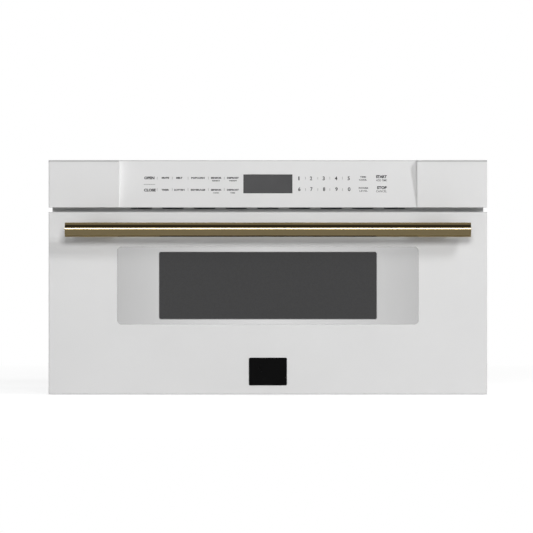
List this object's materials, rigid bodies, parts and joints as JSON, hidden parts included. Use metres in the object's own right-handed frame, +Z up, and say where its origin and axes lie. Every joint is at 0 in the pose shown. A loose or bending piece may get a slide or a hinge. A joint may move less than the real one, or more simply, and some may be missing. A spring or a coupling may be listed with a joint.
{
  "type": "built-in drawer microwave",
  "caption": "Built-in drawer microwave: white front with a leaning touch fascia, brass bar handle and dark window; the door and basin glide out on telescopic slides.",
  "frame": {"origin": "middle of the base pan's underside, the face that rests on the cabinet shelf", "axes": "+X to the right seen from the front, +Z up, the door faces -Y"},
  "size_m": [0.76, 0.675, 0.406],
  "materials": {
    "white_enamel": "smooth satin enamel",
    "fascia_white": "satin moulded front with printed keys",
    "silver_trim": "bright satin",
    "dark_window": "tinted, glossy",
    "clear_glass": "clear, glossy",
    "tray_ceramic": "glossy ceramic glass",
    "handle_brass": "polished, dark champagne",
    "badge_black": "gloss black",
    "display_lens": "smoked lens",
    "frame_grey": "matt grey paint",
    "cavity_enamel": "grey enamel",
    "zinc_sheet": "galvanised sheet",
    "rail_steel": "zinc-plated rolled steel",
    "core_steel": "varnished laminations",
    "copper_winding": "enamelled copper wire",
    "ferrite": "dull sintered",
    "bare_aluminium": "mill finish",
    "board_green": "solder mask",
    "black_plastic": "moulded",
    "grey_plastic": "moulded",
    "white_plastic": "moulded",
    "rubber_black": "matt",
    "bulb_glass": "clear"
  },
  "bodies": {
    "chassis": {"base_pan": "zinc_sheet", "rear_panel": "zinc_sheet", "wrap_cover": "zinc_sheet", "mounting_frame": "frame_grey", "oven_cavity": "cavity_enamel", "vent_duct": "zinc_sheet", "waveguide": "zinc_sheet", "stirrer_motor": "zinc_sheet", "stirrer_cover": "white_plastic", "magnetron_yoke": "zinc_sheet", "magnetron_magnets": "ferrite", "magnetron_tube": "bare_aluminium", "magnetron_fins": "bare_aluminium", "magnetron_filter_box": "zinc_sheet", "transformer_core": "core_steel", "transformer_coils": "copper_winding", "hv_capacitor": "bare_aluminium", "capacitor_clamp": "zinc_sheet", "fan_shroud": "black_plastic", "fan_motor": "core_steel", "filter_board": "board_green", "cord_bush": "rubber_black", "thermal_cutout": "black_plastic", "lamp_housing": "zinc_sheet", "lamp_bulb": "bulb_glass", "control_fascia": "fascia_white", "display_window": "display_lens", "touch_sensor": "grey_plastic", "control_board": "board_green", "slide_outers": "rail_steel", "slide_brackets": "zinc_sheet", "drive_bracket": "zinc_sheet", "drive_gearbox": "black_plastic", "drive_motor": "rail_steel", "rack_guide": "white_plastic", "interlock_housings": "zinc_sheet", "interlock_switches": "black_plastic"},
    "drawer": {"door_skin": "white_enamel", "door_inner_panel": "frame_grey", "choke_frame": "cavity_enamel", "choke_cover": "grey_plastic", "window_trim": "silver_trim", "window_glass": "dark_window", "window_carrier": "black_plastic", "window_screen": "frame_grey", "inner_window": "clear_glass", "drawer_basin": "cavity_enamel", "tray_glass": "tray_ceramic", "handle_bar": "handle_brass", "handle_posts": "handle_brass", "badge_plate": "badge_black", "door_bumpers": "rubber_black", "latch_hooks": "white_plastic", "slide_inners": "rail_steel", "slide_arms": "zinc_sheet", "rack": "white_plastic"},
    "slide_middles": {"slide_middles": "rail_steel"},
    "drive_pinion": {"drive_pinion": "white_plastic"},
    "stirrer": {"stirrer_blade": "bare_aluminium"},
    "cooling_fan": {"fan_blade": "black_plastic"}
  },
  "joints": [
    {"name": "drawer_slide", "type": "slide", "parent": "chassis", "child": "drawer", "axis": [0, -1, 0], "range_m": [0, 0.38]},
    {"name": "slide_middles_travel", "type": "slide", "parent": "chassis", "child": "slide_middles", "axis": [0, -1, 0], "range_m": [0, 0.191]},
    {"name": "pinion_spin", "type": "hinge", "parent": "chassis", "child": "drive_pinion", "pos_m": [0.0175, -0.238, 0.016], "axis": [0, 0, 1], "range_deg": [0, 1620]},
    {"name": "stirrer_spin", "type": "hinge", "parent": "chassis", "child": "stirrer", "pos_m": [0, -0.075, 0.25], "axis": [0, 0, 1], "continuous": true},
    {"name": "fan_spin", "type": "hinge", "parent": "chassis", "child": "cooling_fan", "pos_m": [0.12, 0.2151, 0.205], "axis": [1, 0, 0], "continuous": true}
  ],
  "couplings": [
    {"joint": "slide_middles_travel", "follows": "drawer_slide", "ratio": 0.5},
    {"joint": "pinion_spin", "follows": "drawer_slide", "rad_per_m": 74.074}
  ]
}
